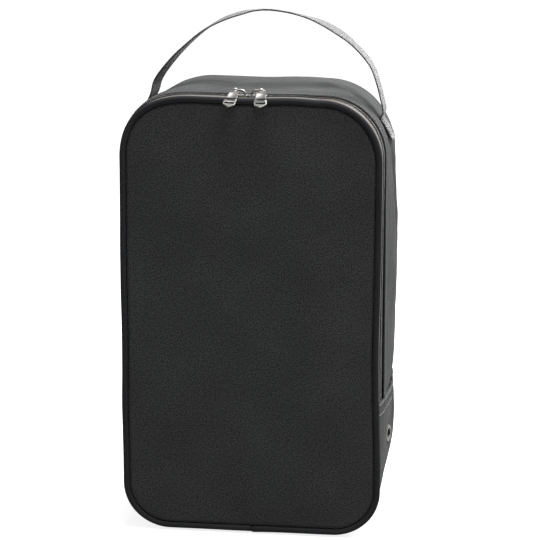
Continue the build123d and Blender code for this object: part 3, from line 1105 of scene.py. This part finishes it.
def at_height(grid, values, columns, height):
    """The values where falling columns of a grid cross one height, one for each row of the grid."""
    columns = list(columns)
    return np.array([
        [np.interp(-height, -row[columns, 2], axis) for axis in value[columns].T]
        for row, value in zip(grid, values)
    ])


def make_hem_stitches(grid):
    """Two rows along the base section's folded top edge, on both sides."""
    made = []
    normals = grid_normals(grid, (0, 0, -1))
    last = grid.shape[1] - 1
    sides = {"left": range(BASE_SIDE_STEPS), "right": range(last, last - BASE_SIDE_STEPS, -1)}
    for name, columns in sides.items():
        for number, below in enumerate((1.9, 10.2)):
            line = at_height(grid, grid, columns, HEM_TOP - below)
            normal = at_height(grid, normals, columns, HEM_TOP - below)
            normal /= np.linalg.norm(normal, axis=1)[:, None]
            keep = (line[:, 1] > -60.5) & (line[:, 1] < 61)
            row_name = f"hem_stitches_{name}_{number}"
            made.append(stitch_row(row_name, (line + 0.1 * normal)[keep], normal[keep]))
    return join("hem_stitches", made)


# ---------------------------------------------------------------- handle
FREE_ROUTE = [
    (-88.8, 352.2), (-86.0, 362.1), (-79.3, 372.5), (-66.0, 387.6), (-46.1, 404.8), (-26.4, 415.1),
    (-3.0, 420.8), (19.3, 419.6), (45.4, 412.8), (65.0, 402.2), (78.0, 391.5), (89.0, 378.5),
    (94.6, 364.5), (97.8, 352.5), (100.2, 342.0),
]
TWIST_AT = (-92, -86, -73, -60, -50, -33, -15, -5, 5, 25, 36, 50, 62, 75, 95, 103)
TWIST = (-4, -7, -5.5, -2.4, -1.5, 2.5, 1.5, -4.5, -6.7, -7.4, -5.5, 1, 2.5, -0.5, -0.5, 0)
STRAP_THICK = 1.5
STRAP_STAND = STRAP_THICK / 2 + 0.25
BOX_HALF = 9.8           # half the width of the box stitching


def curve_through(points, step):
    """Smooth line through points, evenly spaced."""
    points = np.array(points, float)
    padded = np.concatenate([2 * points[:1] - points[1:2], points, 2 * points[-1:] - points[-2:-1]])
    made = []
    for i in range(len(points) - 1):
        p0, p1, p2, p3 = padded[i:i + 4]
        t = np.linspace(0, 1, 24, endpoint=False)[:, None]
        made.append(0.5 * (2 * p1 + (p2 - p0) * t + (2 * p0 - 5 * p1 + 4 * p2 - p3) * t ** 2
                           + (3 * p1 - p0 - 3 * p2 + p3) * t ** 3))
    line = np.concatenate(made + [points[-1:]])
    along = lengths(line)
    wanted = np.linspace(0, along[-1], int(along[-1] / step) + 1)
    return np.stack([np.interp(wanted, along, c) for c in line.T], 1), wanted


def on_shoulder(grid, side, heights, stands):
    """Points over the cloth under the strap, at these heights and stands on one shoulder."""
    middle = int(np.argmin(np.abs(grid[:, 0, 1])))
    beside = grid[middle][:, 0] * side > 0
    normals = grid_normals(grid, (0, 0, 1))[middle][beside]
    under = [row[beside] for row in grid[10:] if abs(row[0, 1]) < STRAP_WIDTH / 2]
    order = np.argsort(grid[middle][beside][:, 2])
    spots = []
    for z, stand in zip(heights, stands):
        reach = []
        for row in under:
            rising = np.argsort(row[:, 2])
            reach.append(side * np.interp(z, row[rising, 2], row[rising, 0]))
        out = [np.interp(z, grid[middle][beside][order, 2], normals[order, axis]) for axis in (0, 2)]
        spots.append((side * max(reach) + stand * out[0], z + stand * out[1]))
    return spots


def make_handle(grid):
    """One length of ribbed webbing, sewn down at both shoulders and gently twisted between them."""
    left = on_shoulder(grid, -1, (306.0, 316.0, 326.0, 336.0, 342.0), (STRAP_STAND,) * 5)
    right = on_shoulder(grid, 1, (336.0, 330.0, 324.0, 318.0), STRAP_STAND + np.array((0.1, 0.4, 1.1, 2.0)))
    line, along = curve_through(left + FREE_ROUTE + right, 0.4)
    kernel = np.hanning(15) / np.hanning(15).sum()
    soft = np.stack([np.convolve(np.pad(c, 7, "edge"), kernel, "valid") for c in line.T], 1)
    run = np.gradient(soft, axis=0)
    run /= np.linalg.norm(run, axis=1)[:, None]
    out = np.stack([-run[:, 1], run[:, 0]], 1)
    turn = np.interp(soft[:, 0], TWIST_AT, TWIST) * smooth((soft[:, 1] - 338) / 14)
    wide_kernel = np.hanning(35) / np.hanning(35).sum()
    twist = np.radians(np.convolve(np.pad(turn, 17, "edge"), wide_kernel, "valid"))
    out3 = np.stack([out[:, 0], np.zeros(len(out)), out[:, 1]], 1)
    depth = np.array([[0.0, 1.0, 0.0]])
    wide = depth * np.cos(twist)[:, None] + out3 * np.sin(twist)[:, None]
    thick = out3 * np.cos(twist)[:, None] - depth * np.sin(twist)[:, None]
    half = STRAP_WIDTH / 2
    cross = np.linspace(-1, 1, 17)
    rib = np.sin(2 * math.pi * along / RIB_PITCH)
    top, bottom = [], []
    for s in cross:
        edge = math.sqrt(max(0.0, 1 - abs(s) ** 14)) * 0.5 + 0.5 if abs(s) < 1 else 0.35
        lift = STRAP_THICK / 2 * edge + 0.13 * rib
        reach = s * (half + (0.3 * rib if abs(s) == 1 else 0.0))
        top.append(np.stack([reach * np.ones(len(along)), lift], 1))
        bottom.append(np.stack([reach * np.ones(len(along)), -STRAP_THICK / 2 * edge + 0.08 * rib], 1))
    section = np.stack(top + bottom[::-1], 1)
    centres = np.stack([soft[:, 0], np.zeros(len(soft)), soft[:, 1]], 1)
    piece = tube("handle_strap", centres, wide, thick, section, along=along, across=section[..., 0])
    dressed(piece, WEBBING, "webbing", "handle_webbing", "handle_end_left", "handle_end_right")
    return piece, (centres, wide, thick, along)


def make_handle_stitches(ribbon):
    """Box stitching that holds the strap's two ends down."""
    centres, wide, thick, along = ribbon
    rows = []
    for first, last in ((2.0, 30.0), (along[-1] - 22.0, along[-1] - 2.0)):
        inside = (along >= first) & (along <= last)
        w, n = wide[inside], thick[inside]
        surface = centres[inside] + n * (STRAP_THICK / 2 + 0.15)
        for side in (-BOX_HALF, BOX_HALF):
            rows.append((surface + w * side, n, 2.8, 2.2))
        for end in (0, -1):
            across = np.linspace(-BOX_HALF, BOX_HALF, 9)[:, None]
            rows.append((surface[end] + w[end] * across, np.repeat(n[end][None], 9, 0), 2.6, 2.1))
        diagonal = 2 * np.linspace(0, 1, len(surface))[:, None] - 1
        for way in (1, -1):
            rows.append((surface + w * way * BOX_HALF * diagonal, n, 2.8, 2.2))
    made = [stitch_row(f"row_{i}", *row, 0.35, WEBBING_THREAD) for i, row in enumerate(rows)]
    return join("handle_stitches", made)


# ---------------------------------------------------------------- metal parts
def hard_copy(name, node, material, slot, edge=0.18, warp=None):
    """A metal part of the frame with its edges rounded and its triangles tidied."""
    mesh = frame["nodes"][node].data.copy()
    piece = bpy.data.objects.new(name, mesh)
    bpy.context.scene.collection.objects.link(piece)
    work = bmesh.new()
    work.from_mesh(mesh)
    bmesh.ops.remove_doubles(work, verts=work.verts, dist=0.02 * MM)
    bmesh.ops.dissolve_limit(work, angle_limit=math.radians(1.5), verts=work.verts, edges=work.edges)
    work.to_mesh(mesh)
    work.free()
    for layer in list(mesh.uv_layers):
        mesh.uv_layers.remove(layer)
    mesh.polygons.foreach_set("use_smooth", np.ones(len(mesh.polygons), bool))
    bevelled(piece, edge)
    if warp is not None:
        move_mesh(piece, warp)
    piece.data.polygons.foreach_set("use_smooth", np.ones(len(piece.data.polygons), bool))
    piece.data.set_sharp_from_angle(angle=math.radians(50))
    return dressed(piece, material, slot, node)


# ---------------------------------------------------------------- putting it together
def fold_blend(piece):
    """The piece with its placement baked into its mesh."""
    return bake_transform(piece)


def build_bag():
    for maker in (make_front_panel, make_front_lining, make_piping, make_front_binding):
        fold_blend(maker())
    for maker in (make_back_panel, make_back_lining, make_back_binding, make_upper_lining, make_base_board):
        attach(maker(), "bag_body")
    upper, upper_grid = make_upper_gusset()
    base, base_grid = make_base_gusset()
    base_lining = make_base_lining()
    for side in (1, -1):
        centre = np.array([side * EYELET_AT[0], EYELET_AT[1], EYELET_AT[2]])
        punch(base, centre, 4.6)
        punch(base_lining, centre, 4.6)
    for piece in (upper, base, base_lining, make_edge_stitches(upper_grid), make_hem_stitches(base_grid)):
        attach(piece, "bag_body")
    front_tape, rear_tape = make_tapes()
    front_coil, rear_coil = make_coils()
    fold_blend(front_tape)
    fold_blend(front_coil)
    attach(rear_tape, "bag_body")
    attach(rear_coil, "bag_body")
    strap, ribbon = make_handle(upper_grid)
    axis = np.array(JOINTS["handle_swing"]["axis"], float)
    axis /= np.linalg.norm(axis)
    rise = np.array([-axis[2], 0.0, axis[0]])
    rise *= np.sign(rise[2])
    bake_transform(strap)
    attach(make_handle_stitches(ribbon), "bag_body")


def turned_eyelet(points):
    """An eyelet follows the soft side that it is pressed into, facing a little to the front."""
    moved = settle(points)
    side = np.sign(moved[..., 0])
    depth = points[..., 1] - EYELET_AT[1]
    moved[..., 0] += side * (EYELET_TURN * depth - 0.2)
    moved[..., 1] -= EYELET_TURN * (np.abs(points[..., 0]) - EYELET_AT[0])
    return moved


TAB_DROOP = math.radians(24.0)   # slope of the hanging pull tabs
TAB_SKEW = math.radians(6.0)     # and their turn away from each other
SLOT_AT = 20.3           # the slot's distance from the tab's hinge
SLOT_HALF = (3.95, 1.2)  # half the slot's size, with its rounded rim
FACE_LEVEL = 0.95        # a face this level is the tab's own face, not a wall of the slot


def darken_slot(piece, side):
    """The walls of a pull tab's slot get a near-black material: painted shade for the shade inside the slot.
    """
    skew = TAB_SKEW if side == "right" else -TAB_SKEW
    turn = Matrix.Rotation(TAB_DROOP, 3, "X") @ Matrix.Rotation(skew, 3, "Z")
    back = turn.inverted()
    pivot = Vector(JOINTS[f"puller_{side}_swing"]["pos_m"])
    piece.data.materials.append(SLOT_PAINTED_SHADE)
    for face in piece.data.polygons:
        local = back @ (face.center - pivot) / MM
        level = (back @ face.normal).z
        if abs(local.x) < SLOT_HALF[0] and abs(local.y + SLOT_AT) < SLOT_HALF[1] and abs(level) < FACE_LEVEL:
            face.material_index = 1
    return piece


def build_metal():
    for side in ("left", "right"):
        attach(hard_copy(f"slider_body_{side}", f"slider_{side}", NICKEL, "zip_metal"), f"slider_{side}")
        tab = hard_copy(f"pull_tab_{side}", f"puller_{side}", NICKEL, "zip_metal")
        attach(darken_slot(tab, side), f"puller_{side}")
        for name, node in (("eyelet_ring", "eyelet"), ("eyelet_back", "eyelet_washer")):
            names = f"{name}_{side}", f"{node}_{side}"
            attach(hard_copy(*names, DARK_NICKEL, "eyelet_metal", 0.15, turned_eyelet), "bag_body")


build_bag()
build_metal()


# ---------------------------------------------------------------- studio
FLOOR_HALF = 6000.0


def make_floor():
    """White sweep that glows a little, so that it stays white in the bag's shade."""
    n = Nodes("studio_floor")
    n.shader.inputs["Base Color"].default_value = (0.2, 0.2, 0.2, 1)
    n.shader.inputs["Emission Color"].default_value = (1.0, 1.0, 1.0, 1)
    corners = [(x * FLOOR_HALF, y * FLOOR_HALF, -0.3) for x, y in ((-1, -1), (1, -1), (1, 1), (-1, 1))]
    floor = add_object("studio_floor_plane", corners, [(0, 1, 2, 3)])
    paint(floor, n.surface(rough=0.9, gloss=0.0, emission=0.82))


def area_light(name, location, target, size, power):
    data = bpy.data.lights.new(name, "AREA")
    data.shape = "DISK"
    data.size = size
    data.energy = power
    light = bpy.data.objects.new(name, data)
    bpy.context.scene.collection.objects.link(light)
    light.location = location
    light.rotation_euler = (Vector(target) - Vector(location)).to_track_quat("-Z", "Y").to_euler()
    return light


def make_world():
    """Even white light from all sides."""
    world = bpy.data.worlds.new("studio")
    bpy.context.scene.world = world
    world.use_nodes = True
    world.node_tree.nodes["Background"].inputs["Color"].default_value = (1.0, 1.0, 1.0, 1)
    world.node_tree.nodes["Background"].inputs["Strength"].default_value = 1.0


CAMERA_AT = (0.2954, -2.0, 0.6286)
CAMERA_PAN, CAMERA_TILT, CAMERA_ROLL = 0.14326, 0.20592, 0.00288
CAMERA_LENS = 166.84


def make_camera():
    """A long lens in front of the bag, a little to the right of it and above."""
    level = math.cos(CAMERA_TILT)
    ahead = Vector((-math.sin(CAMERA_PAN) * level, math.cos(CAMERA_PAN) * level, -math.sin(CAMERA_TILT)))
    right = Vector((math.cos(CAMERA_PAN), math.sin(CAMERA_PAN), 0))
    up = right.cross(ahead)
    right_rolled = math.cos(CAMERA_ROLL) * right + math.sin(CAMERA_ROLL) * up
    up_rolled = -math.sin(CAMERA_ROLL) * right + math.cos(CAMERA_ROLL) * up
    data = bpy.data.cameras.new("camera")
    data.lens = CAMERA_LENS
    data.sensor_width = 36
    data.clip_end = 60
    camera = bpy.data.objects.new("camera", data)
    bpy.context.scene.collection.objects.link(camera)
    turn = Matrix((right_rolled, up_rolled, -ahead)).transposed().to_4x4()
    camera.matrix_world = Matrix.Translation(CAMERA_AT) @ turn
    bpy.context.scene.camera = camera


make_floor()
make_world()
area_light("key", (0.5, -0.1, 2.2), (0, 0, 0.3), 1.5, 210)
area_light("back", (0.7, 1.4, 1.4), (0, 0, 0.36), 0.7, 72)
area_light("side", (1.7, -0.7, 0.7), (0.1, 0, 0.15), 0.3, 6)
make_camera()
bpy.context.scene.view_settings.view_transform = "Standard"
